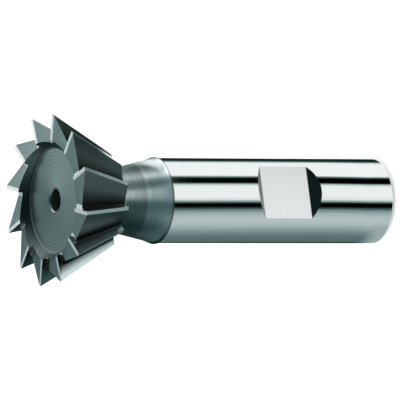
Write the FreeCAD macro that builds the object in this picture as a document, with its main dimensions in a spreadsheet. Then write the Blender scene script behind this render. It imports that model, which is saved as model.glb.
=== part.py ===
import FreeCAD, Part
import math
import os
import Sketcher

# A one-piece dovetail cutter: a straight shank with a clamping flat, a turned neck
# and a conical head with twelve teeth that cut on the cone and on the end face.
# The tool stands on its shank end. Z runs along the axis from the shank end (z = 0)
# to the end face of the teeth, and the clamping flat looks along -Y.
# All lengths are in millimetres and all angles in degrees.

os.makedirs("parts", exist_ok=True)
doc = FreeCAD.newDocument("dovetail_cutter_model")


# Driving dimensions

dims = doc.addObject("Spreadsheet::Sheet", "dims")

DRIVING = [
    # overall and shank
    ("total_length", 71.0, "shank end to end face of the teeth"),
    ("shank_diameter", 16.0, "ground cylinder that the holder grips"),
    ("shank_length", 48.2, "shank end to the edge of the collar"),
    ("shank_chamfer", 1.0, "lead-in at the shank end"),
    ("back_centre_mouth", 5.3, "mouth diameter of the centre hole in the shank end"),
    ("back_centre_pilot", 2.5, "pilot diameter of that centre hole"),
    ("back_centre_depth", 5.5, "depth of its pilot"),
    # clamping flat
    ("flat_height", 14.2, "back of the shank to the clamping flat"),
    ("flat_length", 10.0, "length of the flat bottom along the axis"),
    ("flat_centre", 23.1, "shank end to the middle of the flat"),
    ("flat_wall_angle", 45.0, "end walls of the flat against its bottom"),
    # neck
    ("collar_diameter", 16.4, "turned edge left where the grinding of the shank stops"),
    ("collar_slope", 0.15, "length over which the collar falls to the shank"),
    ("neck_shoulder_diameter", 15.3, "where the steep part of the neck ends"),
    ("neck_shoulder_length", 1.5, "length of the steep part of the neck"),
    ("neck_root_diameter", 11.4, "neck where it would meet the back of the head"),
    ("neck_root_fillet", 1.0, "fillet between the neck and the back of the head"),
    # head
    ("cutting_diameter", 32.5, "over the corners of the teeth"),
    ("head_length", 12.7, "length of the toothed cone"),
    ("cone_angle", 30.0, "cutting edges against the axis, a 60 degree dovetail"),
    ("tooth_count", 12, "teeth around the head"),
    ("tooth_phase", 7.5, "first rake face, turned from +X about +Z"),
    ("relief_angle", 4.0, "fall of the ground lands behind the cutting edges"),
    # teeth on the cone
    ("cone_land", 0.62, "width of the ground land behind a cone edge"),
    ("gullet_radius", 12.85, "radius of the gullet line in the end plane"),
    ("gullet_angle", 23.8, "gullet line against the axis"),
    ("gullet_fillet", 0.6, "nose radius in the bottom of the flute"),
    ("flute_runout", 0.45, "how far the flute runs past the back of the head"),
    # teeth on the end face
    ("end_land", 0.7, "width of the ground land behind an end edge"),
    ("end_gash_angle", 8.7, "floor of the end gash against the end plane"),
    ("gash_nose", 0.75, "flat strip that the wheel's nose leaves before the next rake face"),
    # recess in the end face
    ("recess_mouth_diameter", 22.6, "rim of the recess, inner end of the end teeth"),
    ("recess_floor_diameter", 19.8, "flat floor of the recess"),
    ("recess_depth", 1.8, "end plane to the floor of the recess"),
    ("recess_fillet", 0.8, "fillet between the floor and the wall of the recess"),
    ("front_hole_diameter", 4.2, "centre hole in the floor of the recess"),
    ("front_hole_depth", 8.0, "depth of its cylinder below the floor"),
    ("front_hole_chamfer", 0.25, "chamfer on its mouth"),
    ("drill_point_angle", 59.0, "side of a drilled cone against the axis"),
]

DERIVED = [
    ("shank_radius", "=shank_diameter / 2"),
    ("collar_radius", "=collar_diameter / 2"),
    ("neck_shoulder_radius", "=neck_shoulder_diameter / 2"),
    ("neck_shoulder_height", "=shank_length + neck_shoulder_length"),
    ("neck_root_radius", "=neck_root_diameter / 2"),
    ("head_back_height", "=total_length - head_length"),
    ("tip_radius", "=cutting_diameter / 2"),
    ("head_back_radius", "=tip_radius - head_length * tan(cone_angle * 1deg)"),
    ("neck_cone_height", "=head_back_height - neck_shoulder_height"),
    ("neck_cone_fall", "=neck_shoulder_radius - neck_root_radius"),
    ("neck_cone_side", "=sqrt(neck_cone_height * neck_cone_height + neck_cone_fall * neck_cone_fall)"),
    ("neck_fillet_limit", "=neck_cone_height * neck_cone_side / (neck_cone_side + neck_cone_fall)"),
    ("neck_fillet_radius", "=min(neck_root_fillet; 0.9 * neck_fillet_limit)"),
    ("flat_offset", "=flat_height - shank_radius"),
    ("flat_outside", "=shank_radius + 1"),
    ("flat_wall_run", "=(flat_outside - flat_offset) / tan(flat_wall_angle * 1deg)"),
    ("flat_low", "=flat_centre - flat_length / 2"),
    ("flat_high", "=flat_centre + flat_length / 2"),
    ("back_mouth_radius", "=back_centre_mouth / 2"),
    ("back_pilot_radius", "=back_centre_pilot / 2"),
    ("back_cone_depth", "=(back_mouth_radius - back_pilot_radius) / tan(30deg)"),
    ("back_tip_depth", "=back_centre_depth + back_pilot_radius / tan(drill_point_angle * 1deg)"),
    ("recess_mouth_radius", "=recess_mouth_diameter / 2"),
    ("recess_floor_radius", "=recess_floor_diameter / 2"),
    ("recess_floor_height", "=total_length - recess_depth"),
    ("front_hole_radius", "=front_hole_diameter / 2"),
    ("front_hole_mouth", "=front_hole_radius + front_hole_chamfer"),
    ("front_hole_bottom", "=recess_floor_height - front_hole_depth"),
    ("front_hole_tip", "=front_hole_bottom - front_hole_radius / tan(drill_point_angle * 1deg)"),
    ("tooth_pitch", "=360 / tooth_count"),
    ("outside_radius", "=tip_radius + 4"),
    ("relief_slope", "=tan(relief_angle * 1deg)"),
    ("relief_width", "=2 * cone_land + 0.4"),
    ("gash_slope", "=tan(end_gash_angle * 1deg)"),
    ("gash_start", "=end_land * (1 - relief_slope / gash_slope)"),
    ("pitch_cos", "=cos(tooth_pitch * 1deg)"),
    ("pitch_sin", "=sin(tooth_pitch * 1deg)"),
    ("land_edge_x", "=(tip_radius - relief_slope * cone_land) * pitch_cos + cone_land * pitch_sin"),
    ("land_edge_y", "=(tip_radius - relief_slope * cone_land) * pitch_sin - cone_land * pitch_cos"),
    ("cut_depth", "=head_length + flute_runout"),
    ("gash_nose_x", "=(gash_nose * pitch_cos + gash_start) / pitch_sin"),
    ("gash_depth", "=outside_radius * pitch_sin * gash_slope"),
]

# The sheet lists each driving dimension once, with its meaning beside it.
row = 1
for alias, value, meaning in DRIVING:
    dims.set("A%d" % row, alias)
    dims.set("B%d" % row, str(value))
    dims.set("C%d" % row, meaning)
    dims.setAlias("B%d" % row, alias)
    row += 1
for alias, formula in DERIVED:
    dims.set("A%d" % row, alias)
    dims.set("B%d" % row, formula)
    dims.setAlias("B%d" % row, alias)
    row += 1
doc.recompute()


def value(expression):
    """Number that an expression over the sheet gives now."""
    result = dims.evalExpression(expression)
    return float(getattr(result, "Value", result))


# The one body of the tool

body = doc.addObject("PartDesign::Body", "dovetail_cutter")
body.Label = "dovetail_cutter"
body.Placement = FreeCAD.Placement()
doc.recompute()


def origin_feature(role):
    """Plane or axis of the body's own origin, found by its role."""
    for feature in body.Origin.OriginFeatures:
        if feature.Role == role:
            return feature
    raise ValueError(role)


def new_sketch(name, plane, height=None, turn=None):
    """Empty sketch on an origin plane, raised and turned by sheet expressions."""
    sketch = body.newObject("Sketcher::SketchObject", name)
    sketch.AttachmentSupport = (origin_feature(plane), [""])
    sketch.MapMode = "FlatFace"
    if height:
        sketch.setExpression("AttachmentOffset.Base.z", height)
    if turn:
        sketch.setExpression("AttachmentOffset.Rotation.Angle", turn)
    return sketch


def place_vertex(sketch, line, x, y):
    """Hold the start of a line at two sheet expressions, measured from the origin."""
    for kind, axis, expression in (("DistanceX", -2, x), ("DistanceY", -1, y)):
        number = value(expression)
        if abs(number) < 1e-9:
            sketch.addConstraint(Sketcher.Constraint("PointOnObject", line, 1, axis))
        else:
            index = sketch.addConstraint(Sketcher.Constraint(kind, -1, 1, line, 1, number))
            sketch.setExpression("Constraints[%d]" % index, expression)


def closed_profile(sketch, corners):
    """Closed polygon whose corners are pairs of sheet expressions."""
    points = [FreeCAD.Vector(value(x), value(y), 0) for x, y in corners]
    count = len(points)
    for i in range(count):
        sketch.addGeometry(Part.LineSegment(points[i], points[(i + 1) % count]), False)
    for i in range(count):
        sketch.addConstraint(Sketcher.Constraint("Coincident", i, 2, (i + 1) % count, 1))
    for i in range(count):
        place_vertex(sketch, i, corners[i][0], corners[i][1])
    sketch.Visibility = False
    doc.recompute()


def circle_edge(feature, radius, height):
    """Name of the full circle of a given radius at a given height."""
    for index, edge in enumerate(feature.Shape.Edges):
        curve = edge.Curve
        if not isinstance(curve, Part.Circle):
            continue
        if abs(curve.Radius - radius) < 1e-4 and abs(curve.Center.z - height) < 1e-4:
            return "Edge%d" % (index + 1)
    raise ValueError((radius, height))


# Turned blank: shank, collar, neck and head cone

blank_sketch = new_sketch("blank_profile", "XZ_Plane")
closed_profile(blank_sketch, [
    ("0", "0"),
    ("dims.shank_radius", "0"),
    ("dims.shank_radius", "dims.shank_length - dims.collar_slope"),
    ("dims.collar_radius", "dims.shank_length"),
    ("dims.neck_shoulder_radius", "dims.neck_shoulder_height"),
    ("dims.neck_root_radius", "dims.head_back_height"),
    ("dims.head_back_radius", "dims.head_back_height"),
    ("dims.tip_radius", "dims.total_length"),
    ("0", "dims.total_length"),
])
blank = body.newObject("PartDesign::Revolution", "blank")
blank.Profile = blank_sketch
blank.ReferenceAxis = (origin_feature("Z_Axis"), [""])
blank.Angle = 360
doc.recompute()

neck_fillet = body.newObject("PartDesign::Fillet", "neck_fillet")
root_edge = circle_edge(blank, value("dims.neck_root_radius"), value("dims.head_back_height"))
neck_fillet.Base = (blank, [root_edge])
neck_fillet.setExpression("Radius", "dims.neck_fillet_radius")
doc.recompute()

shank_lead = body.newObject("PartDesign::Chamfer", "shank_lead")
shank_lead.Base = (neck_fillet, [circle_edge(neck_fillet, value("dims.shank_radius"), 0.0)])
shank_lead.setExpression("Size", "dims.shank_chamfer")
doc.recompute()


# Centre hole in the shank end, on which the tool is turned and ground

back_sketch = new_sketch("back_centre_profile", "XZ_Plane")
closed_profile(back_sketch, [
    ("0", "0"),
    ("dims.back_mouth_radius", "0"),
    ("dims.back_pilot_radius", "dims.back_cone_depth"),
    ("dims.back_pilot_radius", "dims.back_centre_depth"),
    ("0", "dims.back_tip_depth"),
])
back_centre = body.newObject("PartDesign::Groove", "back_centre")
back_centre.Profile = back_sketch
back_centre.ReferenceAxis = (origin_feature("Z_Axis"), [""])
back_centre.Angle = 360
doc.recompute()


# Recess in the end face with its centre hole

recess_sketch = new_sketch("recess_profile", "XZ_Plane")
closed_profile(recess_sketch, [
    ("0", "dims.total_length"),
    ("dims.recess_mouth_radius", "dims.total_length"),
    ("dims.recess_floor_radius", "dims.recess_floor_height"),
    ("dims.front_hole_mouth", "dims.recess_floor_height"),
    ("dims.front_hole_radius", "dims.recess_floor_height - dims.front_hole_chamfer"),
    ("dims.front_hole_radius", "dims.front_hole_bottom"),
    ("0", "dims.front_hole_tip"),
])
recess = body.newObject("PartDesign::Groove", "recess")
recess.Profile = recess_sketch
recess.ReferenceAxis = (origin_feature("Z_Axis"), [""])
recess.Angle = 360
doc.recompute()

recess_cove = body.newObject("PartDesign::Fillet", "recess_cove")
floor_edge = circle_edge(recess, value("dims.recess_floor_radius"), value("dims.recess_floor_height"))
recess_cove.Base = (recess, [floor_edge])
recess_cove.setExpression("Radius", "dims.recess_fillet")
doc.recompute()


# Clamping flat: a flat bottom for the side screw, with sloping end walls

flat_sketch = new_sketch("flat_profile", "YZ_Plane")
closed_profile(flat_sketch, [
    ("-dims.flat_offset", "dims.flat_low"),
    ("-dims.flat_offset", "dims.flat_high"),
    ("-dims.flat_outside", "dims.flat_high + dims.flat_wall_run"),
    ("-dims.flat_outside", "dims.flat_low - dims.flat_wall_run"),
])
clamping_flat = body.newObject("PartDesign::Pocket", "clamping_flat")
clamping_flat.Profile = flat_sketch
clamping_flat.Midplane = True
clamping_flat.setExpression("Length", "dims.shank_diameter + 2")
doc.recompute()


def slanted_pocket(name, sketch, direction, depth):
    """Pocket from the end plane along a slanted direction, deep by a sheet expression."""
    pocket = body.newObject("PartDesign::Pocket", name)
    pocket.Profile = sketch
    pocket.UseCustomVector = True
    pocket.AlongSketchNormal = True
    for axis, expression in zip("xyz", direction):
        pocket.setExpression("Direction." + axis, expression)
    pocket.setExpression("Length", depth)
    doc.recompute()
    return pocket


def in_phase(radial, across, down):
    """Direction given in the frame of the first tooth, as expressions in the body's frame."""
    turn = "dims.tooth_phase * 1deg"
    x = "(%s) * cos(%s) - (%s) * sin(%s)" % (radial, turn, across, turn)
    y = "(%s) * sin(%s) + (%s) * cos(%s)" % (radial, turn, across, turn)
    return (x, y, "-(%s)" % down)


# Teeth. Seen from the end face the tool turns counter-clockwise, so a rake face looks
# counter-clockwise and the lands trail behind it. Each tool pass is a sketch in the end
# plane, in the frame of one tooth, swept along the line that the wheel follows.

PHASE = "dims.tooth_phase"
TOP = "dims.total_length"

# Relief of the cone land: a plane through the cutting edge, swept down the cone.
cone_relief_sketch = new_sketch("cone_relief_profile", "XY_Plane", TOP, PHASE)
closed_profile(cone_relief_sketch, [
    ("dims.tip_radius", "0"),
    ("dims.tip_radius - dims.relief_slope * dims.relief_width", "-dims.relief_width"),
    ("dims.outside_radius", "-dims.relief_width"),
    ("dims.outside_radius", "0"),
])
cone_relief = slanted_pocket(
    "cone_relief",
    cone_relief_sketch,
    in_phase("-tan(dims.cone_angle * 1deg)", "0", "1"),
    "dims.cut_depth",
)

# Relief of the end land: a plane through the end edge, stopped by the rake face behind.
end_relief_sketch = new_sketch("end_relief_profile", "XY_Plane", TOP, PHASE)
closed_profile(end_relief_sketch, [
    ("0", "0"),
    ("dims.outside_radius * dims.pitch_cos", "-dims.outside_radius * dims.pitch_sin"),
    ("dims.outside_radius", "0"),
])
end_relief = slanted_pocket(
    "end_relief",
    end_relief_sketch,
    in_phase("dims.pitch_cos", "-dims.pitch_sin", "dims.pitch_sin * dims.relief_slope"),
    "dims.outside_radius * dims.pitch_sin * dims.relief_slope",
)

# End gash: the chip room between two end teeth. Its floor falls from the end land to a
# flat strip as wide as the wheel's nose, in front of the rake face of the tooth behind.
NOSE_FAR_X = "dims.gash_nose_x * dims.pitch_cos + dims.gash_nose * dims.pitch_sin"
NOSE_FAR_Y = "dims.gash_nose * dims.pitch_cos - dims.gash_nose_x * dims.pitch_sin"
end_gash_sketch = new_sketch("end_gash_profile", "XY_Plane", TOP, PHASE)
closed_profile(end_gash_sketch, [
    (NOSE_FAR_X, NOSE_FAR_Y),
    ("dims.gash_nose_x * dims.pitch_cos", "-dims.gash_nose_x * dims.pitch_sin"),
    ("dims.outside_radius * dims.pitch_cos", "-dims.outside_radius * dims.pitch_sin"),
    ("dims.outside_radius", "-dims.gash_start"),
])
end_gash = slanted_pocket(
    "end_gash",
    end_gash_sketch,
    in_phase("dims.pitch_cos", "-dims.pitch_sin", "dims.pitch_sin * dims.gash_slope"),
    "dims.gash_depth",
)

# Flute: bounded by this tooth's rake face and the back of the tooth in front, with a
# rounded bottom that falls towards the axis as it runs to the back of the head.
flute_sketch = new_sketch("flute_profile", "XY_Plane", TOP, PHASE)
gullet = FreeCAD.Vector(value("dims.gullet_radius"), 0, 0)
land_edge = FreeCAD.Vector(value("dims.land_edge_x"), value("dims.land_edge_y"), 0)
back_way = (land_edge - gullet).normalize()
back_angle = math.atan2(back_way.y, back_way.x)
nose = value("dims.gullet_fillet")
setback = nose / math.tan(back_angle / 2)
nose_centre = FreeCAD.Vector(gullet.x + setback, nose, 0)
nose_low = FreeCAD.Vector(gullet.x + setback, 0, 0)
nose_high = gullet + back_way * setback
reach = value("dims.outside_radius")
far_low = FreeCAD.Vector(reach, 0, 0)
far_high = gullet + back_way * reach
far_corner = FreeCAD.Vector(reach, far_high.y, 0)
nose_circle = Part.Circle(nose_centre, FreeCAD.Vector(0, 0, 1), nose)
nose_start = math.atan2(nose_high.y - nose_centre.y, nose_high.x - nose_centre.x)
nose_arc = Part.ArcOfCircle(nose_circle, nose_start, -math.pi / 2)
rake_line = flute_sketch.addGeometry(Part.LineSegment(nose_low, far_low), False)
side_line = flute_sketch.addGeometry(Part.LineSegment(far_low, far_corner), False)
top_line = flute_sketch.addGeometry(Part.LineSegment(far_corner, far_high), False)
back_line = flute_sketch.addGeometry(Part.LineSegment(far_high, nose_high), False)
nose_curve = flute_sketch.addGeometry(nose_arc, False)
# The corner where both flanks would meet without the rounded bottom, and the land's edge.
gullet_point = flute_sketch.addGeometry(Part.Point(gullet), True)
edge_point = flute_sketch.addGeometry(Part.Point(land_edge), True)
for constraint in (
    Sketcher.Constraint("Coincident", rake_line, 2, side_line, 1),
    Sketcher.Constraint("Coincident", side_line, 2, top_line, 1),
    Sketcher.Constraint("Coincident", top_line, 2, back_line, 1),
    Sketcher.Constraint("Tangent", back_line, 2, nose_curve, 1),
    Sketcher.Constraint("Tangent", nose_curve, 2, rake_line, 1),
    Sketcher.Constraint("PointOnObject", rake_line, 2, -1),
    Sketcher.Constraint("Horizontal", rake_line),
    Sketcher.Constraint("Vertical", side_line),
    Sketcher.Constraint("Horizontal", top_line),
    Sketcher.Constraint("PointOnObject", gullet_point, 1, -1),
    Sketcher.Constraint("PointOnObject", gullet_point, 1, back_line),
    Sketcher.Constraint("PointOnObject", edge_point, 1, back_line),
):
    flute_sketch.addConstraint(constraint)
for constraint, expression in (
    (Sketcher.Constraint("Radius", nose_curve, nose), "dims.gullet_fillet"),
    (Sketcher.Constraint("DistanceX", -1, 1, gullet_point, 1, gullet.x), "dims.gullet_radius"),
    (Sketcher.Constraint("DistanceX", -1, 1, edge_point, 1, land_edge.x), "dims.land_edge_x"),
    (Sketcher.Constraint("DistanceY", -1, 1, edge_point, 1, land_edge.y), "dims.land_edge_y"),
    (Sketcher.Constraint("DistanceX", -1, 1, rake_line, 2, reach), "dims.outside_radius"),
    (Sketcher.Constraint("DistanceY", -1, 1, top_line, 1, far_high.y), "dims.outside_radius * 0.98"),
):
    index = flute_sketch.addConstraint(constraint)
    flute_sketch.setExpression("Constraints[%d]" % index, expression)
flute_sketch.Visibility = False
doc.recompute()
flute = slanted_pocket(
    "flute",
    flute_sketch,
    in_phase("-tan(dims.gullet_angle * 1deg)", "0", "1"),
    "dims.cut_depth",
)

# All passes again for every tooth around the head.
teeth = body.newObject("PartDesign::PolarPattern", "teeth")
teeth.Originals = [cone_relief, end_relief, end_gash, flute]
teeth.Axis = (origin_feature("Z_Axis"), [""])
teeth.Angle = 360
body.Tip = teeth
teeth.setExpression("Occurrences", "dims.tooth_count")
doc.recompute()


# Check every object, then write the part

for item in doc.Objects:
    states = [state for state in item.State if state in ("Invalid", "Error")]
    if states:
        raise RuntimeError("%s is %s" % (item.Name, states))
    shape = getattr(item, "Shape", None)
    if shape is not None and item.TypeId.startswith("PartDesign::"):
        if shape.isNull() or not shape.isValid():
            raise RuntimeError("%s has no valid shape" % item.Name)

previous = None
for feature in body.Group:
    if feature.TypeId.startswith("PartDesign::"):
        volume = feature.Shape.Volume
        change = 0.0 if previous is None else volume - previous
        print("%-16s volume %10.3f mm3, change %10.3f" % (feature.Name, volume, change))
        if previous is not None and change >= 0 and feature not in (neck_fillet, recess_cove):
            raise RuntimeError("%s takes nothing away" % feature.Name)
        previous = volume

solid = body.Shape
if len(solid.Solids) != 1:
    raise RuntimeError("the tool is not one solid")
box = solid.BoundBox
print("box", [round(n, 3) for n in (box.XMin, box.YMin, box.ZMin, box.XMax, box.YMax, box.ZMax)])
solid.exportStep("parts/dovetail_cutter.step")
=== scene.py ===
import bpy
import bmesh
import math
from mathutils import Matrix, Vector


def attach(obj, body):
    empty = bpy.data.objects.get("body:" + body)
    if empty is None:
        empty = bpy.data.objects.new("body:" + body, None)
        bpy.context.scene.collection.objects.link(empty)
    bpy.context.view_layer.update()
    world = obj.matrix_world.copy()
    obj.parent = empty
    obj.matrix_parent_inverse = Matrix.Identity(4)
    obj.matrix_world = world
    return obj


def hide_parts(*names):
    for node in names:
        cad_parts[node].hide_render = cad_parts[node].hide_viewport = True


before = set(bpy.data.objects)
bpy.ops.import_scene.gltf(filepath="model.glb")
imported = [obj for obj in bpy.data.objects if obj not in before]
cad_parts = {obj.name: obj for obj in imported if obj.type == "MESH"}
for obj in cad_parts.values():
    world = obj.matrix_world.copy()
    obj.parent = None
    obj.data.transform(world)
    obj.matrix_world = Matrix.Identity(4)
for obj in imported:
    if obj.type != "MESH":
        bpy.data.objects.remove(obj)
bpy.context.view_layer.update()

# Shank.
# The lower two thirds of the tool: high-speed steel, hardened and ground round to the
# size of the holder's bore. A centre hole carries it between centres, and a clamping
# flat with sloping end walls is milled into one side for the holder's screw.

# Sizes are in millimetres, heights above the floor, and MM turns them into metres.
MM = 0.001
SHANK_RADIUS = 8.0
SHANK_TOP = 48.2
SHANK_LEAD = 1.0
CENTRE_MOUTH = 2.65
CENTRE_PILOT = 1.25
CENTRE_CONE_DEPTH = 2.425
CENTRE_DEPTH = 5.5
CENTRE_TIP = 6.25
FLAT_OFFSET = 6.2
FLAT_LOW = 18.1
FLAT_HIGH = 28.1
FLAT_CUTTER_OVERRUN = 1.0
FLAT_CUTTER_REACH = 10
SHANK_EDGE_ROUND = 0.25
FACETS = 288


def rounded(profile, corners, radius, steps=4):
    """Profile of (radius, height) points whose numbered corners are broken by small arcs."""
    result = []
    for i, point in enumerate(profile):
        if i not in corners:
            result.append(point)
            continue
        corner = Vector(point)
        before = (Vector(profile[i - 1]) - corner).normalized()
        after = (Vector(profile[i + 1]) - corner).normalized()
        half = before.angle(after) / 2
        setback = radius / math.tan(half)
        centre = corner + (before + after).normalized() * (radius / math.sin(half))
        start = corner + before * setback - centre
        end = corner + after * setback - centre
        for k in range(steps + 1):
            way = start.lerp(end, k / steps).normalized() * radius
            result.append(tuple(centre + way))
    return result


def turned(name, profile):
    """Closed turned solid whose profile runs from the axis round the outside to the axis."""
    shape = bmesh.new()
    rings = []
    for radius, height in profile:
        if radius < 1e-6:
            rings.append([shape.verts.new((0, 0, height * MM))] * FACETS)
            continue
        ring = []
        for k in range(FACETS):
            angle = 2 * math.pi * k / FACETS
            east = radius * math.cos(angle)
            north = radius * math.sin(angle)
            ring.append(shape.verts.new((east * MM, north * MM, height * MM)))
        rings.append(ring)
    for lower, upper in zip(rings, rings[1:]):
        for k in range(FACETS):
            n = (k + 1) % FACETS
            corners = []
            for vert in (lower[k], lower[n], upper[n], upper[k]):
                if vert not in corners:
                    corners.append(vert)
            shape.faces.new(corners)
    bmesh.ops.recalc_face_normals(shape, faces=shape.faces)
    mesh = bpy.data.meshes.new(name)
    shape.to_mesh(mesh)
    shape.free()
    piece = bpy.data.objects.new(name, mesh)
    bpy.context.scene.collection.objects.link(piece)
    return piece


def settle(piece):
    """Turns a piece's modifiers into plain mesh and takes them off."""
    bpy.context.view_layer.update()
    seen = piece.evaluated_get(bpy.context.evaluated_depsgraph_get())
    mesh = bpy.data.meshes.new_from_object(seen)
    piece.modifiers.clear()
    piece.data = mesh
    mesh.name = piece.name


def smooth(piece, degrees):
    """Smooth shading with creases kept where faces meet at more than this angle."""
    piece.data.shade_smooth()
    piece.data.set_sharp_from_angle(angle=math.radians(degrees))


shank_profile = rounded([
    (0, CENTRE_TIP),
    (CENTRE_PILOT, CENTRE_DEPTH),
    (CENTRE_PILOT, CENTRE_CONE_DEPTH),
    (CENTRE_MOUTH, 0),
    (SHANK_RADIUS - SHANK_LEAD, 0),
    (SHANK_RADIUS, SHANK_LEAD),
    (SHANK_RADIUS, SHANK_TOP),
    (0, SHANK_TOP),
], (3, 4, 5), SHANK_EDGE_ROUND)
shank = turned("shank", shank_profile)

# The cutter for the flat is a bar with walls at 45 degrees, wider than the shank.
flat_run = SHANK_RADIUS + FLAT_CUTTER_OVERRUN - FLAT_OFFSET
flat_section = [
    (-FLAT_OFFSET, FLAT_LOW),
    (-FLAT_OFFSET, FLAT_HIGH),
    (-FLAT_OFFSET - flat_run, FLAT_HIGH + flat_run),
    (-FLAT_OFFSET - flat_run, FLAT_LOW - flat_run),
]
flat_tool_mesh = bpy.data.meshes.new("flat_tool")
flat_tool_mesh.from_pydata(
    [(side * FLAT_CUTTER_REACH * MM, y * MM, z * MM) for side in (-1, 1) for y, z in flat_section],
    [],
    [(3, 2, 1, 0), (4, 5, 6, 7), (1, 5, 4, 0), (2, 6, 5, 1), (3, 7, 6, 2), (0, 4, 7, 3)],
)
flat_tool = bpy.data.objects.new("flat_tool", flat_tool_mesh)
bpy.context.scene.collection.objects.link(flat_tool)
flat_cut = shank.modifiers.new("flat", "BOOLEAN")
flat_cut.operation = "DIFFERENCE"
flat_cut.solver = "EXACT"
flat_cut.object = flat_tool
settle(shank)
bpy.data.objects.remove(flat_tool)
smooth(shank, degrees=20)


class Amount:
    """A shader value that can be used in Python arithmetic."""

    def __init__(self, finish, socket):
        self.finish = finish
        self.socket = socket

    def _maths(self, operation, *values):
        return self.finish.node("Math", {"operation": operation}, *values)

    def __add__(self, other):
        return self._maths("ADD", self, other)

    __radd__ = __add__

    def __mul__(self, other):
        return self._maths("MULTIPLY", self, other)

    __rmul__ = __mul__

    def __sub__(self, other):
        return self._maths("SUBTRACT", self, other)

    def __rsub__(self, other):
        return self._maths("SUBTRACT", other, self)

    def __truediv__(self, other):
        return self._maths("DIVIDE", self, other)

    def __pow__(self, other):
        return self._maths("POWER", self, other)


class SteelFinish:
    """A bare steel finish: one metal shader and the nodes that vary it."""

    def __init__(self, name, colour):
        self.material = bpy.data.materials.new(name)
        self.material.use_nodes = True
        self.tree = self.material.node_tree
        self.shader = self.tree.nodes["Principled BSDF"]
        self.shader.inputs["Metallic"].default_value = 1.0
        self.colour = colour
        self.object = self.node("TexCoord", {}, out="Object")

    def node(self, kind, settings, *values, out=0, **named):
        """Adds a node, applies its settings, feeds its sockets and returns one output."""
        made = self.tree.nodes.new("ShaderNode" + kind)
        for key, setting in settings.items():
            setattr(made, key, setting)
        for key, value in list(enumerate(values)) + list(named.items()):
            socket = made.inputs[key]
            if isinstance(value, Amount):
                self.tree.links.new(value.socket, socket)
            else:
                socket.default_value = value
        return Amount(self, made.outputs[out])

    def feed(self, name, value):
        """Links a varying value to one of the shader's sockets."""
        self.tree.links.new(value.socket, self.shader.inputs[name])

    def stretched(self, scale):
        """Object coordinates stretched by a different scale on each axis."""
        return self.node("Mapping", {}, Vector=self.object, Scale=scale)

    def noise(self, scale, detail=3.0, roughness=0.55):
        """Noise from about 0 to 1 over the stretched coordinates."""
        return self.node(
            "TexNoise",
            {},
            Vector=self.stretched(scale),
            Scale=1.0,
            Detail=detail,
            Roughness=roughness,
            out="Fac",
        )

    def clamp(self, value):
        """The value kept between 0 and 1."""
        return self.node("Clamp", {}, value)

    def split(self):
        """The object coordinates one by one, in millimetres."""
        first = self.node("SeparateXYZ", {}, self.object)
        return [Amount(self, output) / MM for output in first.socket.node.outputs]

    def tint(self, level):
        """Base colour scaled by a varying level."""
        mixed = self.node(
            "Mix",
            {"data_type": "RGBA", "blend_type": "MIX", "clamp_factor": False},
            out=2,
        )
        made = mixed.socket.node
        self.tree.links.new(level.socket, made.inputs[0])
        made.inputs[6].default_value = (0, 0, 0, 1)
        made.inputs[7].default_value = (*self.colour, 1)
        self.feed("Base Color", mixed)

    def relief(self, height, distance):
        """Surface relief from a varying height, in metres at height 1."""
        bump = self.node("Bump", {}, Height=height, Distance=distance, Strength=1.0, out="Normal")
        self.feed("Normal", bump)


# Fine wheel lines run round the shank. The lead-in at its foot is rougher, and its colour is darkened
# there as painted shade, with a short change from one to the other.
LEAD_BLEND = 0.15
ground_steel = SteelFinish("ground_steel", (0.86, 0.89, 0.89))
wheel_lines = ground_steel.noise((60, 60, 9000), 2.0)
wheel_bands = ground_steel.noise((25, 25, 700), 3.0)
lead_in_dull_and_painted_shade = ground_steel.clamp((SHANK_LEAD - ground_steel.split()[2]) / LEAD_BLEND)
# At the lead-in the colour is darkened by about a third as painted shade.
ground_steel.tint((0.93 + wheel_lines * 0.07 + wheel_bands * 0.05) * (1 - lead_in_dull_and_painted_shade * 0.35))
ground_steel.feed("Roughness", 0.04 + wheel_lines * 0.07 + lead_in_dull_and_painted_shade * 0.12)
ground_steel.relief(wheel_lines, 0.0000008)

# The floor of the flat is bright and satin, with the feed marks of the milling cutter.
flat_steel = SteelFinish("milled_flat_steel", (0.97, 0.99, 0.99))
feed_marks = flat_steel.noise((90, 90, 5200), 2.0)
flat_steel.tint(0.88 + feed_marks * 0.16)
flat_steel.feed("Roughness", 0.28 + feed_marks * 0.14)
flat_steel.relief(feed_marks, 0.000006)

# The flat's sloping end walls are coloured dark as painted shade, with marks along the cutter's edge.
flat_end_painted_shade_steel = SteelFinish("milled_flat_end_steel", (0.14, 0.165, 0.165))
cutter_marks = flat_end_painted_shade_steel.noise((2600, 300, 300), 3.0, 0.65)
flat_end_painted_shade_steel.tint(0.6 + cutter_marks * 0.8)
flat_end_painted_shade_steel.feed("Roughness", 0.18 + cutter_marks * 0.14)
flat_end_painted_shade_steel.relief(cutter_marks, 0.000006)

# The flat faces straight out of the shank, and its end walls lean back at 45 degrees, so
# each is known by how far its faces point outwards.
GROUND, FLAT, FLAT_END = range(3)
FLAT_OUTWARDS = 0.9999
FLAT_END_OUTWARDS = 0.7
shank.data.materials.clear()
for finish in (ground_steel, flat_steel, flat_end_painted_shade_steel):
    shank.data.materials.append(finish.material)
for face in shank.data.polygons:
    if not FLAT_LOW - flat_run < face.center.z / MM < FLAT_HIGH + flat_run:
        continue
    if face.normal.y < -FLAT_OUTWARDS:
        face.material_index = FLAT
    elif face.normal.y < -FLAT_END_OUTWARDS and abs(face.normal.z) > FLAT_END_OUTWARDS:
        face.material_index = FLAT_END
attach(shank, "root")
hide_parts("dovetail_cutter")

# Neck.
# The neck tapers from a collar, left standing where the shank's grinding stops, to the
# back of the head. It stays as it was turned: satin, with fine rings around it.

COLLAR_RADIUS = 8.2
SHOULDER_RADIUS = 7.65
SHOULDER_TOP = 49.7
NECK_ROOT_RADIUS = 5.7
HEAD_BACK = 58.3
NECK_FILLET = 1.0
COLLAR_EDGE = 0.15
# The neck's mesh ends inside the head, this far above the back of the teeth.
NECK_SPIGOT = 0.3
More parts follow.
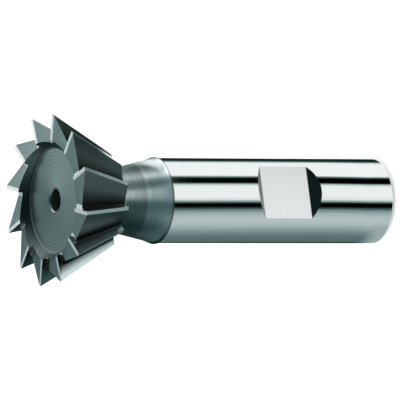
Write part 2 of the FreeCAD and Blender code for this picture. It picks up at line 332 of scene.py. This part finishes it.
# Below this height the neck's colour is lighter, with a short change at the band's edge.
LIGHT_BAND_TOP = 53.4
LIGHT_BAND_EDGE = 0.4
# Painted shade darkens the neck's colour at the collar's edge and fades out over this width above the
# shank's top.
COLLAR_SHADE_WIDTH = 0.35

neck_corner = Vector((NECK_ROOT_RADIUS, HEAD_BACK))
neck_down = (Vector((SHOULDER_RADIUS, SHOULDER_TOP)) - neck_corner).normalized()
neck_half = neck_down.angle(Vector((1, 0))) / 2
neck_setback = NECK_FILLET / math.tan(neck_half)
BACK_INNER_RADIUS = NECK_ROOT_RADIUS + neck_setback

# The last point only gives the fillet its direction, and is dropped again.
neck_outline = rounded([
    (0, SHANK_TOP - COLLAR_EDGE),
    (SHANK_RADIUS, SHANK_TOP - COLLAR_EDGE),
    (COLLAR_RADIUS, SHANK_TOP),
    (SHOULDER_RADIUS, SHOULDER_TOP),
    (NECK_ROOT_RADIUS, HEAD_BACK),
    (BACK_INNER_RADIUS + NECK_FILLET / 2, HEAD_BACK),
], (4,), NECK_FILLET, steps=8)[:-1]
spigot = [(BACK_INNER_RADIUS, HEAD_BACK + NECK_SPIGOT), (0, HEAD_BACK + NECK_SPIGOT)]
neck = turned("neck", neck_outline + spigot)
smooth(neck, degrees=12)

turned_steel = SteelFinish("turned_steel", (0.55, 0.62, 0.62))
tool_rings = turned_steel.noise((30, 30, 5000), 2.0)
ring_bands = turned_steel.noise((20, 20, 900), 2.0)
neck_height = turned_steel.split()[2]
lighter_low_band = turned_steel.clamp((LIGHT_BAND_TOP - neck_height) / LIGHT_BAND_EDGE)
# Painted shade: the neck's colour is darkest at the collar and clears over a short width above it.
collar_shade_fade = turned_steel.clamp((neck_height - SHANK_TOP) / COLLAR_SHADE_WIDTH)
ring_tint = 0.58 + tool_rings * 0.22 + ring_bands * 0.2 + lighter_low_band * 0.38
turned_steel.tint(ring_tint * (0.2 + collar_shade_fade * 0.8))
turned_steel.feed("Roughness", 0.15 + tool_rings * 0.1)
turned_steel.relief(tool_rings, 0.000008)
neck.data.materials.append(turned_steel.material)
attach(neck, "root")
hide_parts("dovetail_cutter")

# Head.
# The head is one with the neck: a 60 degree dovetail cone with twelve teeth. Each tooth
# has a ground land along its cone edge and another along its end edge; the flutes are
# milled, the end gashes are ground in with a small wheel, and the end face is recessed.

TOTAL = 71.0
HEAD_LENGTH = 12.7
TIP_RADIUS = 16.25
CONE = math.tan(math.radians(30))
TEETH = 12
PITCH = math.radians(360 / TEETH)
PHASE = math.radians(7.5)
RELIEF = math.tan(math.radians(4))
CONE_LAND = 0.62
END_LAND = 0.7
GULLET_RADIUS = 12.85
GULLET_SLOPE = math.tan(math.radians(23.8))
GULLET_NOSE = 0.6
GASH_SLOPE = math.tan(math.radians(8.7))
GASH_NOSE = 0.75
RECESS_MOUTH = 11.3
RECESS_FLOOR = 9.9
RECESS_DEPTH = 1.8
RECESS_COVE = 0.8
HOLE_RADIUS = 2.1
HOLE_CHAMFER = 0.25
HOLE_DEPTH = 8.0
DRILL_POINT = math.tan(math.radians(59))
RIM_STEPS = 24
ARC_STEPS = 6
COVE_STEPS = 5
SAME_POINT = 0.002
WELD_DISTANCE = 0.004
SETTLING_ROUNDS = 30
HALVINGS = 40

# One tooth space is worked out between two rake faces, in coordinates (x, y, depth) with
# x along the rake face of the tooth behind and depth measured down from the end plane.
pitch_cos, pitch_sin = math.cos(PITCH), math.sin(PITCH)
gash_start = END_LAND * (1 - RELIEF / GASH_SLOPE)
nose_slope = GASH_SLOPE * pitch_sin
nose_zero = (GASH_NOSE * pitch_cos + gash_start) / pitch_sin
wall_slope = (RECESS_MOUTH - RECESS_FLOOR) / RECESS_DEPTH
gullet = Vector((GULLET_RADIUS, 0))
edge_far = TIP_RADIUS - RELIEF * CONE_LAND
land_edge = Vector((
    edge_far * pitch_cos + CONE_LAND * pitch_sin,
    edge_far * pitch_sin - CONE_LAND * pitch_cos,
))
back_way = (land_edge - gullet).normalized()
back_angle = math.atan2(back_way.y, back_way.x)
nose_setback = GULLET_NOSE / math.tan(back_angle / 2)

# Planes as (a, b, c, d) of a x + b y + c depth = d.
END_PLANE = (-RELIEF * pitch_sin, RELIEF * pitch_cos, 1, 0)
GASH_PLANE = (-GASH_SLOPE * pitch_sin, GASH_SLOPE * pitch_cos, 1, -GASH_SLOPE * gash_start)
NOSE_PLANE = (-nose_slope, 0, 1, -nose_slope * nose_zero)
LAND_PLANE = (pitch_cos + RELIEF * pitch_sin, pitch_sin - RELIEF * pitch_cos, CONE, TIP_RADIUS)
BACK_PLANE = (0, 0, 1, HEAD_LENGTH)
FLUTE_PLANE = (back_way.y, -back_way.x, GULLET_SLOPE * back_way.y, back_way.y * GULLET_RADIUS)


def meet(*planes):
    """Point where three planes meet."""
    rows = Matrix([plane[:3] for plane in planes])
    return rows.inverted() @ Vector([plane[3] for plane in planes])


def wall_top(angle):
    """Upper edge of the recess wall at an angle, under the end land, gash or nose strip."""
    depth = 0.0
    for _ in range(SETTLING_ROUNDS):
        radius = RECESS_MOUTH - wall_slope * depth
        x, y = radius * math.cos(angle), radius * math.sin(angle)
        behind = x * pitch_sin - y * pitch_cos
        gash = min(GASH_SLOPE * (behind - gash_start), nose_slope * (x - nose_zero))
        depth = max(RELIEF * behind, gash, 0.0)
    return Vector((radius * math.cos(angle), radius * math.sin(angle), depth)), RELIEF * behind, gash


def crossing(low, high, test):
    """Angle at which a test changes from true to false."""
    for _ in range(HALVINGS):
        middle = (low + high) / 2
        if test(middle):
            low = middle
        else:
            high = middle
    return low


def at(radius, angle, depth):
    """Point at a radius, an angle and a depth below the end plane."""
    return Vector((radius * math.cos(angle), radius * math.sin(angle), depth))


# The rim's points: even steps, less those that nearly meet a corner, and the two corners.
CORNER_CLEARANCE = 0.004
nose_end_angle = crossing(0, PITCH, lambda a: wall_top(a)[0].y < GASH_NOSE)
gash_end_angle = crossing(nose_end_angle, PITCH, lambda a: wall_top(a)[2] > wall_top(a)[1])
rim_corners = (nose_end_angle, gash_end_angle)
angles = sorted({0.0, nose_end_angle, gash_end_angle, PITCH} | {
    PITCH * k / RIM_STEPS
    for k in range(RIM_STEPS + 1)
    if min(abs(PITCH * k / RIM_STEPS - corner) for corner in rim_corners) > CORNER_CLEARANCE
})
rim = [wall_top(a)[0] for a in angles]
nose_end = angles.index(nose_end_angle)
gash_end = angles.index(gash_end_angle)

# The gullet's arc runs from the rake face behind to the back of the tooth in front.
arc_start = -math.pi / 2
arc_end = math.atan2(
    back_way.y * nose_setback - GULLET_NOSE,
    back_way.x * nose_setback - nose_setback,
)
if arc_end > 0:
    arc_end -= 2 * math.pi
gullet_arc = []
for k in range(ARC_STEPS + 1):
    turn = arc_start + (arc_end - arc_start) * k / ARC_STEPS
    gullet_arc.append(Vector((
        GULLET_RADIUS + nose_setback + GULLET_NOSE * math.cos(turn),
        GULLET_NOSE + GULLET_NOSE * math.sin(turn),
    )))


def on_gullet(k, depth=None):
    """Point of the gullet's arc at a depth, or where it comes out in the nose strip."""
    x, y = gullet_arc[k]
    if depth is None:
        depth = nose_slope * (x - nose_zero) / (1 + nose_slope * GULLET_SLOPE)
    return Vector((x - GULLET_SLOPE * depth, y, depth))


tip = at(TIP_RADIUS, 0, 0)
tip_next = at(TIP_RADIUS, PITCH, 0)
heel = at(TIP_RADIUS - CONE * HEAD_LENGTH, 0, HEAD_LENGTH)
heel_next = at(TIP_RADIUS - CONE * HEAD_LENGTH, PITCH, HEAD_LENGTH)
land_corner = meet(LAND_PLANE, END_PLANE, FLUTE_PLANE)
gash_corner = meet(GASH_PLANE, END_PLANE, FLUTE_PLANE)
nose_corner = meet(GASH_PLANE, NOSE_PLANE, FLUTE_PLANE)
land_heel = meet(LAND_PLANE, FLUTE_PLANE, BACK_PLANE)
arc_top = [on_gullet(k) for k in range(ARC_STEPS + 1)]
arc_heel = [on_gullet(k, HEAD_LENGTH) for k in range(ARC_STEPS + 1)]
gullet_heel_next = at(arc_heel[0].x, PITCH, HEAD_LENGTH)
rim_foot_next = at(rim[0].x, PITCH, rim[0].z)

# The faces of one tooth space, each with the number of its finish.
LAND, RAKE, FLUTE, GASH, TURNED, WALL, FACE, DRILLED = range(8)
space = [
    (RAKE, [tip, heel, arc_heel[0], arc_top[0], rim[0], at(RECESS_MOUTH, 0, 0)]),
    (LAND, rim[gash_end:] + [tip_next, land_corner, gash_corner]),
    (GASH, rim[nose_end:gash_end + 1] + [gash_corner, nose_corner]),
    (LAND, rim[:nose_end + 1] + [nose_corner] + arc_top[::-1]),
    (LAND, [tip_next, heel_next, land_heel, land_corner]),
    (FLUTE, [land_corner, land_heel, arc_heel[-1], arc_top[-1], nose_corner, gash_corner]),
    (TURNED, [at(BACK_INNER_RADIUS, a, HEAD_LENGTH) for a in angles]
     + [gullet_heel_next, heel_next, land_heel] + arc_heel[::-1]),
]
for k in range(ARC_STEPS):
    space.append((FLUTE, [arc_top[k], arc_top[k + 1], arc_heel[k + 1], arc_heel[k]]))

# The recess below its rim, and the centre hole: rings of (radius, depth) to the axis.
wall_angle = math.atan(wall_slope)
cove_setback = RECESS_COVE * math.tan((math.pi / 2 - wall_angle) / 2)
recess_rings = []
for k in range(COVE_STEPS + 1):
    turn = (math.pi / 2 - wall_angle) * (1 - k / COVE_STEPS)
    recess_rings.append((
        RECESS_FLOOR - cove_setback + RECESS_COVE * math.sin(turn),
        RECESS_DEPTH - RECESS_COVE + RECESS_COVE * math.cos(turn),
    ))
recess_rings += [
    (HOLE_RADIUS + HOLE_CHAMFER, RECESS_DEPTH),
    (HOLE_RADIUS, RECESS_DEPTH + HOLE_CHAMFER),
    (HOLE_RADIUS, RECESS_DEPTH + HOLE_DEPTH),
    (0, RECESS_DEPTH + HOLE_DEPTH + HOLE_RADIUS / DRILL_POINT),
]
# The wall's finish reaches down into the cove, and the floor's out to the hole's chamfer.
WALL_ROWS = 4
FLOOR_ROW = COVE_STEPS + 1
rows = [rim] + [[at(r, a, d) for a in angles] for r, d in recess_rings]
for row, (upper, lower) in enumerate(zip(rows, rows[1:])):
    finish = WALL if row < WALL_ROWS else FACE if row <= FLOOR_ROW else DRILLED
    for k in range(len(angles) - 1):
        corners = [upper[k], upper[k + 1], lower[k + 1], lower[k]]
        if upper is rim and k == len(angles) - 2:
            corners.insert(2, rim_foot_next)
        space.append((finish, corners))

# A fan of hidden faces closes the head at its back, where the neck meets it.
for k in range(len(angles) - 1):
    space.append((TURNED, [
        at(BACK_INNER_RADIUS, angles[k], HEAD_LENGTH),
        at(BACK_INNER_RADIUS, angles[k + 1], HEAD_LENGTH),
        Vector((0, 0, HEAD_LENGTH)),
    ]))

# Rounded places make the points that neighbouring faces share exactly equal.
shape = bmesh.new()
finish_layer = shape.faces.layers.int.new("finish")
turn = Matrix.Rotation(PHASE, 3, "Z")
for finish, corners in space:
    verts = []
    for x, y, depth in corners:
        place = turn @ Vector((x, y, 0))
        place = (round(place.x, 7), round(place.y, 7), round(TOTAL - depth, 7))
        if not verts or place != verts[-1]:
            verts.append(place)
    if verts[0] == verts[-1]:
        verts.pop()
    made = shape.faces.new([shape.verts.new(Vector(v) * MM) for v in verts])
    made[finish_layer] = finish
bmesh.ops.remove_doubles(shape, verts=shape.verts, dist=SAME_POINT * MM)
head_mesh = bpy.data.meshes.new("head")
shape.to_mesh(head_mesh)
shape.free()
head = bpy.data.objects.new("head", head_mesh)
bpy.context.scene.collection.objects.link(head)

# The lands are ground bright, with a fine grain.
land_steel = SteelFinish("ground_land_steel", (0.95, 0.99, 0.99))
land_grain = land_steel.noise((1800, 1800, 1800), 2.0, 0.7)
land_steel.tint(0.74 + land_grain * 0.4)
land_steel.feed("Roughness", 0.2 + land_grain * 0.1)


def above_gullet(finish):
    """From 0 at the gullet line to 1 at the cutting edge, at any height of the head."""
    east, north, height = finish.split()
    depth = TOTAL - height
    gullet_line = GULLET_RADIUS - depth * GULLET_SLOPE
    edge_line = TIP_RADIUS - depth * CONE
    return ((east * east + north * north) ** 0.5 - gullet_line) / (edge_line - gullet_line)


# The rake faces and the flutes darken towards the gullet, where they shade each other.
rake_steel = SteelFinish("ground_rake_steel", (0.62, 0.74, 0.73))
rake_grain = rake_steel.noise((300, 300, 4000), 2.0)
rake_rise = rake_steel.clamp(above_gullet(rake_steel) * 1.25 + 0.06)
rake_steel.tint((0.7 + rake_grain * 0.5) * (0.08 + rake_rise * 0.94))
rake_steel.feed("Roughness", 0.18 + rake_grain * 0.12)
rake_steel.relief(rake_grain, 0.000004)

flute_steel = SteelFinish("milled_flute_steel", (0.125, 0.155, 0.16))
flute_grain = flute_steel.noise((900, 900, 2500), 3.0, 0.7)
flute_rise = flute_steel.clamp(above_gullet(flute_steel) * 2.7 - 0.22)
flute_steel.tint((0.65 + flute_grain * 0.9) * (0.02 + flute_rise * 0.98))
flute_steel.feed("Roughness", 0.26 + flute_grain * 0.14)
flute_steel.relief(flute_grain, 0.000005)

# The gashes keep the even grain of the small wheel that ground them.
gash_steel = SteelFinish("ground_gash_steel", (0.205, 0.29, 0.285))
gash_grain = gash_steel.noise((1400, 1400, 1400), 3.0, 0.7)
gash_steel.tint(0.6 + gash_grain * 0.7)
gash_steel.feed("Roughness", 0.18 + gash_grain * 0.1)

# The wall of the recess is finely specked, and its colour is made dark as painted shade inside the
# recess.
shaded_wall_steel = SteelFinish("recess_wall_steel", (0.078, 0.108, 0.107))
wall_specks = shaded_wall_steel.noise((1800, 1800, 1800), 3.0, 0.7)
shaded_wall_steel.tint(0.5 + wall_specks * 0.9)
shaded_wall_steel.feed("Roughness", 0.22 + wall_specks * 0.2)
shaded_wall_steel.relief(wall_specks, 0.00002)

# The floor of the recess shows the rings of the facing tool, one for each feed step, and
# shades as if it fell off a little from the middle.
FACE_FEED = 0.7
RING_RELIEF = 0.012
FACE_FALL = 0.1
face_steel = SteelFinish("turned_face_steel", (0.195, 0.275, 0.27))
face_east, face_north = face_steel.split()[:2]
face_radius = (face_east * face_east + face_north * face_north) ** 0.5
face_wave = face_steel.node("Math", {"operation": "SINE"}, face_radius * (2 * math.pi / FACE_FEED))
face_rings = face_wave * 0.5 + 0.5
ring_fade = face_steel.noise((180, 180, 180), 2.0)
face_steel.tint(0.78 + face_rings * 0.3)
face_steel.feed("Roughness", 0.24 + face_rings * 0.08)
face_steel.relief(face_rings * ring_fade * (RING_RELIEF * MM) - face_radius * (FACE_FALL * MM), 1.0)

# The centre hole keeps the marks of the drill.
drilled_steel = SteelFinish("drilled_steel", (0.4, 0.47, 0.47))
drill_marks = drilled_steel.noise((200, 200, 1500), 2.0)
drilled_steel.tint(0.6 + drill_marks * 0.6)
drilled_steel.feed("Roughness", 0.3 + drill_marks * 0.2)

# One tooth space is repeated round the axis and given its finishes by number.
around = bpy.data.node_groups.new("teeth_around_head", "GeometryNodeTree")
around.interface.new_socket("Geometry", in_out="INPUT", socket_type="NodeSocketGeometry")
teeth_socket = around.interface.new_socket("Teeth", in_out="INPUT", socket_type="NodeSocketInt")
weld_socket = around.interface.new_socket("Weld distance", in_out="INPUT", socket_type="NodeSocketFloat")
around.interface.new_socket("Geometry", in_out="OUTPUT", socket_type="NodeSocketGeometry")


def step(kind, settings, **inputs):
    """Adds a node to the tree around the head and links or sets its inputs."""
    made = around.nodes.new(kind)
    for key, setting in settings.items():
        setattr(made, key, setting)
    for key, value in inputs.items():
        socket = made.inputs[key]
        if isinstance(value, bpy.types.NodeSocket):
            around.links.new(value, socket)
        else:
            socket.default_value = value
    return made


given = around.nodes.new("NodeGroupInput")
share = step("ShaderNodeMath", {"operation": "DIVIDE"})
share.inputs[0].default_value = 2 * math.pi
around.links.new(given.outputs["Teeth"], share.inputs[1])
count = step("GeometryNodeInputIndex", {})
bearing = step("ShaderNodeMath", {"operation": "MULTIPLY"})
around.links.new(count.outputs[0], bearing.inputs[0])
around.links.new(share.outputs[0], bearing.inputs[1])
spin = step("ShaderNodeCombineXYZ", {}, Z=bearing.outputs[0])
posts = step("GeometryNodePoints", {}, Count=given.outputs["Teeth"])
repeated = step(
    "GeometryNodeInstanceOnPoints",
    {},
    Points=posts.outputs[0],
    Instance=given.outputs["Geometry"],
    Rotation=spin.outputs[0],
)
real = step("GeometryNodeRealizeInstances", {}, Geometry=repeated.outputs[0])
welded = step(
    "GeometryNodeMergeByDistance",
    {},
    Geometry=real.outputs[0],
    Distance=given.outputs["Weld distance"],
)
dressed = welded.outputs[0]
finish_number = step("GeometryNodeInputNamedAttribute", {"data_type": "INT"}, Name="finish")
for number, finish in (
    (LAND, land_steel),
    (RAKE, rake_steel),
    (FLUTE, flute_steel),
    (GASH, gash_steel),
    (TURNED, turned_steel),
    (WALL, shaded_wall_steel),
    (FACE, face_steel),
    (DRILLED, drilled_steel),
):
    chosen = step("FunctionNodeCompare", {"data_type": "INT", "operation": "EQUAL"})
    around.links.new(finish_number.outputs["Attribute"], chosen.inputs[2])
    chosen.inputs[3].default_value = number
    coat = step(
        "GeometryNodeSetMaterial",
        {},
        Geometry=dressed,
        Selection=chosen.outputs[0],
        Material=finish.material,
    )
    dressed = coat.outputs[0]
around.links.new(dressed, around.nodes.new("NodeGroupOutput").inputs["Geometry"])

teeth = head.modifiers.new("teeth", "NODES")
teeth.node_group = around
teeth[teeth_socket.identifier] = TEETH
teeth[weld_socket.identifier] = WELD_DISTANCE * MM
settle(head)
shape = bmesh.new()
shape.from_mesh(head.data)
bmesh.ops.recalc_face_normals(shape, faces=shape.faces)
shape.to_mesh(head.data)
shape.free()
smooth(head, degrees=16)
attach(head, "root")
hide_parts("dovetail_cutter")

# Floor, light and mirrored studio.
# A plain white floor, a soft sky and one soft key light. The bright steel takes its look
# from what it mirrors, so three stage surfaces in plain bands of grey stand for the studio:
# a card on the floor, a card level with the collar and a room. Only mirror rays see them.

FLOOR_SIZE = 6
FLOOR_GLOW = 0.4
SKY_COLOUR = (0.93, 0.97, 1.0, 1)
SKY_STRENGTH = 0.75
KEY_SIZE = 1.0
KEY_POWER = 4.0
KEY_PLACE = (-0.55, -0.25, 0.75)
KEY_AIM = Vector((0, 0, 0.035))

bpy.ops.mesh.primitive_plane_add(size=FLOOR_SIZE, location=(0, 0, 0))
floor = bpy.context.object
floor.name = "floor"
floor_paint = bpy.data.materials.new("floor_paint")
floor_paint.use_nodes = True
floor_tree = floor_paint.node_tree
floor_shader = floor_tree.nodes["Principled BSDF"]
floor_shader.inputs["Base Color"].default_value = (0.9, 0.9, 0.9, 1)
floor_shader.inputs["Roughness"].default_value = 1.0
floor_shader.inputs["Specular IOR Level"].default_value = 0.0
floor_shader.inputs["Emission Color"].default_value = (1, 1, 1, 1)
# The floor's own glow whitens it for the camera and for mirror rays, and lights nothing
# else.
rays = floor_tree.nodes.new("ShaderNodeLightPath")
glow = floor_tree.nodes.new("ShaderNodeMath")
glow.operation = "MAXIMUM"
floor_tree.links.new(rays.outputs["Is Camera Ray"], glow.inputs[0])
floor_tree.links.new(rays.outputs["Is Glossy Ray"], glow.inputs[1])
glow_level = floor_tree.nodes.new("ShaderNodeMath")
glow_level.operation = "MULTIPLY"
glow_level.inputs[1].default_value = FLOOR_GLOW
floor_tree.links.new(glow.outputs[0], glow_level.inputs[0])
floor_tree.links.new(glow_level.outputs[0], floor_shader.inputs["Emission Strength"])
floor.data.materials.append(floor_paint)

VIEW_AZIMUTH = -15.0
CARD_GAP = 0.1
CARD_HEIGHT = 0.3
CARD_BREAK = 92
CARD_FADE = 8
CARD_REACH = 1200
CARD_FOOT = 2.6
FOOT_ANGLE = -34
FOOT_LEVEL = 0.45
HEAD_CARD_HEIGHT = 48.6
ROOM_RADIUS = 1200
BAND_STEPS = 4

# The floor card: the angle round the shank from the viewer's side, the brightness that
# the shank mirrors there, and the brightness past the break, which only the head mirrors.
card_bands = [
    (-88, 0.0, 0.02), (-80, 0.02, 0.02), (-76, 0.15, 0.02), (-68, 0.17, 0.02), (-58, 0.2, 0.02),
    (-52, 0.25, 0.02), (-46, 0.34, 0.02), (-40, 0.46, 0.02), (-34, 0.56, 0.02), (-28, 0.6, 0.02),
    (-21, 0.54, 0.02), (-15, 0.35, 0.02), (-11, 0.1, 0.02), (-8.5, 0.0, 0.01), (-3.5, 0.0, 0.05),
    (-1, 0.33, 0.4), (1.5, 0.86, 0.66), (6, 0.97, 0.66), (20, 0.95, 0.8), (22.5, 0.6, 0.9),
    (24.7, 0.0, 1.1), (32, 0.0, 1.15), (34, 0.15, 1.1), (36.5, 1.0, 1.05), (50, 1.0, 1.4),
    (62, 1.0, 1.8), (66, 0.5, 1.2), (69, 0.03, 0.6), (80, 0.01, 0.3), (88, 0.0, 0.1),
]
# The card level with the collar, which only the head mirrors: brightness by azimuth from
# the viewer's side, at each of these radii.
head_card_radii = (9, 15, 17.5, 30, 50, 90)
head_card_bands = [
    (-180, (0.05, 0.05, 0.05, 0.05, 0.05, 0.05)),
    (-120, (0.05, 0.05, 0.05, 0.05, 0.05, 0.05)),
    (-85, (0.13, 0.13, 0.15, 0.03, 0.03, 0.05)),
    (-50, (0.13, 0.13, 0.2, 0.04, 0.06, 0.08)),
    (-33, (0.2, 0.2, 0.3, 0.09, 0.12, 0.14)),
    (-18, (0.35, 0.35, 0.5, 0.12, 0.12, 0.14)),
    (0, (0.38, 0.38, 0.45, 0.3, 0.2, 0.2)),
    (12, (0.6, 0.6, 1.0, 1.2, 1.2, 0.9)),
    (25, (0.6, 0.6, 1.0, 1.3, 1.3, 1.0)),
    (32, (0.3, 0.3, 0.3, 0.5, 0.6, 0.6)),
    (38, (0.25, 0.25, 0.05, 0.15, 0.1, 0.1)),
    (50, (0.25, 0.25, 0.05, 0.15, 0.1, 0.1)),
    (62, (0.4, 0.4, 0.08, 0.1, 0.4, 0.5)),
    (72, (1.2, 1.2, 0.03, 0.02, 1.2, 1.6)),
    (100, (1.2, 1.2, 0.03, 0.02, 1.4, 2.0)),
    (130, (0.35, 0.35, 0.3, 0.5, 1.6, 2.0)),
    (180, (0.05, 0.05, 0.05, 0.05, 0.05, 0.05)),
]
# The room round the tool: brightness by azimuth from the viewer's side, at each of these
# elevations.
room_elevations = (-3, 12, 29, 46, 65, 90)
room_bands = [
    (-180, (0.03, 0.05, 0.64, 0.72, 0.1, 0.06)),
    (-160, (0.05, 0.06, 0.38, 0.4, 0.08, 0.06)),
    (-125, (0.05, 0.08, 0.5, 0.3, 0.05, 0.06)),
    (-90, (0.09, 0.13, 1.1, 0.45, 0.04, 0.06)),
    (-50, (0.23, 0.28, 0.5, 0.3, 0.04, 0.06)),
    (-16, (0.08, 0.11, 0.12, 0.09, 0.02, 0.06)),
    (-4, (0.1, 0.14, 0.1, 0.08, 0.01, 0.06)),
    (4, (0.2, 0.36, 0.1, 0.08, 0.01, 0.06)),
    (38, (0.2, 0.36, 0.08, 0.05, 0.05, 0.06)),
    (50, (0.1, 0.2, 0.2, 0.07, 0.05, 0.06)),
    (62, (0.2, 0.4, 0.45, 0.1, 0.02, 0.06)),
    (74, (1.6, 1.8, 0.9, 0.25, 0.04, 0.06)),
    (100, (2.2, 2.3, 1.0, 0.4, 0.1, 0.06)),
    (130, (2.0, 2.0, 1.4, 1.0, 0.2, 0.06)),
    (155, (0.5, 0.4, 2.0, 1.8, 0.25, 0.06)),
    (180, (0.03, 0.05, 0.64, 0.72, 0.1, 0.06)),
]


def heading(angle):
    """Level direction at an angle from the viewer's side, counted towards the picture's top."""
    turn = math.radians(270 + VIEW_AZIMUTH + angle)
    return Vector((math.cos(turn), math.sin(turn), 0))


def mirrored_paint(name, one_sided):
    """Black paint that glows at the mesh's own level, cooler where it is dim."""
    paint = bpy.data.materials.new(name)
    paint.use_nodes = True
    tree = paint.node_tree
    shader = tree.nodes["Principled BSDF"]
    shader.inputs["Base Color"].default_value = (0, 0, 0, 1)
    shader.inputs["Specular IOR Level"].default_value = 0.0
    shader.inputs["Emission Strength"].default_value = 1.0
    level = tree.nodes.new("ShaderNodeAttribute")
    level.attribute_name = "level"
    dim_red = tree.nodes.new("ShaderNodeMath")
    dim_red.operation = "POWER"
    dim_red.inputs[1].default_value = 1.25
    least_red = tree.nodes.new("ShaderNodeMath")
    least_red.operation = "MINIMUM"
    glow_colour = tree.nodes.new("ShaderNodeCombineColor")
    tree.links.new(level.outputs["Fac"], dim_red.inputs[0])
    tree.links.new(dim_red.outputs[0], least_red.inputs[0])
    tree.links.new(level.outputs["Fac"], least_red.inputs[1])
    tree.links.new(least_red.outputs[0], glow_colour.inputs[0])
    tree.links.new(level.outputs["Fac"], glow_colour.inputs[1])
    tree.links.new(level.outputs["Fac"], glow_colour.inputs[2])
    tree.links.new(glow_colour.outputs[0], shader.inputs["Emission Color"])
    if one_sided:
        side = tree.nodes.new("ShaderNodeNewGeometry")
        front = tree.nodes.new("ShaderNodeMath")
        front.operation = "SUBTRACT"
        front.inputs[0].default_value = 1.0
        tree.links.new(side.outputs["Backfacing"], front.inputs[1])
        tree.links.new(front.outputs[0], shader.inputs["Alpha"])
    return paint


def stage_grid(name, rows, paint):
    """Stage surface from rows of (point in mm, brightness) that only mirrors can see."""
    points = [tuple(point * MM) for row in rows for point, level in row]
    wide = len(rows[0])
    quads = []
    for i in range(len(rows) - 1):
        for k in range(wide - 1):
            near = i * wide + k
            far = near + wide
            quads.append((near, near + 1, far + 1, far))
    mesh = bpy.data.meshes.new(name)
    mesh.from_pydata(points, [], quads)
    levels = mesh.attributes.new("level", "FLOAT", "POINT")
    for k, level in enumerate(level for row in rows for point, level in row):
        levels.data[k].value = level
    mesh.materials.append(paint)
    made = bpy.data.objects.new(name, mesh)
    bpy.context.scene.collection.objects.link(made)
    made.visible_camera = False
    made.visible_diffuse = False
    made.visible_shadow = False


room_paint = mirrored_paint("room_paint", one_sided=False)
head_card_paint = mirrored_paint("mirror_paint", one_sided=True)

# Light that meets the shank at an angle leaves it at twice that angle, so each band of the
# floor card starts at the shank and runs out along its own mirrored ray.
card_rows = []
for angle, inner, outer in card_bands:
    start = heading(angle) * (SHANK_RADIUS + CARD_GAP) + Vector((0, 0, CARD_HEIGHT))
    away = heading(2 * angle)
    foot = max(inner, FOOT_LEVEL) if angle < FOOT_ANGLE else inner
    card_rows.append([
        (start, foot),
        (start + away * CARD_FOOT, foot),
        (start + away * CARD_FOOT * 3, inner),
        (start + away * CARD_BREAK, inner),
        (start + away * (CARD_BREAK + CARD_FADE), outer),
        (start + away * CARD_REACH, outer),
    ])
stage_grid("mirror_card", card_rows, room_paint)


def polar_rows(bands, place):
    """Grid rows for bands of (azimuth, levels), with even steps from each to the next."""
    rows = []
    for (angle, levels), (next_angle, next_levels) in zip(bands, bands[1:] + bands[-1:]):
        for k in range(BAND_STEPS if next_angle > angle else 1):
            side = heading(angle + (next_angle - angle) * k / BAND_STEPS)
            blend = [low + (high - low) * k / BAND_STEPS for low, high in zip(levels, next_levels)]
            rows.append([(place(side, i), level) for i, level in enumerate(blend)])
    return rows


def on_head_card(side, i):
    """Point of the head's card in a direction, at its radius of this number."""
    return side * head_card_radii[i] + Vector((0, 0, HEAD_CARD_HEIGHT))


def on_room(side, i):
    """Point of the room in a direction, at its elevation of this number."""
    rise = math.radians(room_elevations[i])
    return (side * math.cos(rise) + Vector((0, 0, math.sin(rise)))) * ROOM_RADIUS


stage_grid("mirror_head_card", polar_rows(head_card_bands, on_head_card), head_card_paint)
stage_grid("mirror_room", polar_rows(room_bands, on_room), room_paint)

# The sky is a little cool. The key light stands to the left and isn't mirrored itself.
world = bpy.data.worlds.new("sky")
bpy.context.scene.world = world
world.use_nodes = True
world.node_tree.nodes["Background"].inputs[0].default_value = SKY_COLOUR
world.node_tree.nodes["Background"].inputs[1].default_value = SKY_STRENGTH

key = bpy.data.lights.new("key", "AREA")
key.shape = "RECTANGLE"
key.size = KEY_SIZE
key.size_y = KEY_SIZE
key.energy = KEY_POWER
key_light = bpy.data.objects.new("key", key)
bpy.context.scene.collection.objects.link(key_light)
key_light.visible_glossy = False
key_light.location = KEY_PLACE
aim = KEY_AIM - key_light.location
key_light.rotation_euler = aim.to_track_quat("-Z", "Y").to_euler()

# Camera.
# The photograph shows the standing tool turned a quarter: its axis runs to the left, so
# the camera is rolled, and looks down on the end face from the side of the flat.

VIEW_ELEVATION = 28.913
VIEW_ROLL = -89.806
VIEW_DISTANCE = 1.8798
VIEW_LENS = 899.0
VIEW_CENTRE = Vector((0, 0, 0.0355))
VIEW_SHIFT_RIGHT = -0.002407
VIEW_SHIFT_UP = 0.000139

az, el, roll = (math.radians(v) for v in (VIEW_AZIMUTH, VIEW_ELEVATION, VIEW_ROLL))
towards = Vector((math.sin(az) * math.cos(el), -math.cos(az) * math.cos(el), math.sin(el)))
level_right = Vector((math.cos(az), math.sin(az), 0))
level_up = towards.cross(level_right)
right = level_right * math.cos(roll) + level_up * math.sin(roll)
up = -level_right * math.sin(roll) + level_up * math.cos(roll)
camera_data = bpy.data.cameras.new("camera")
camera_data.sensor_width = 36
camera_data.lens = VIEW_LENS
camera_data.clip_start = 0.1
camera_data.clip_end = 20
camera = bpy.data.objects.new("camera", camera_data)
bpy.context.scene.collection.objects.link(camera)
stand = Matrix((right, up, towards)).transposed().to_4x4()
stand.translation = (
    VIEW_CENTRE + towards * VIEW_DISTANCE + right * VIEW_SHIFT_RIGHT + up * VIEW_SHIFT_UP
)
camera.matrix_world = stand
bpy.context.scene.camera = camera
bpy.context.scene.view_settings.view_transform = "Standard"
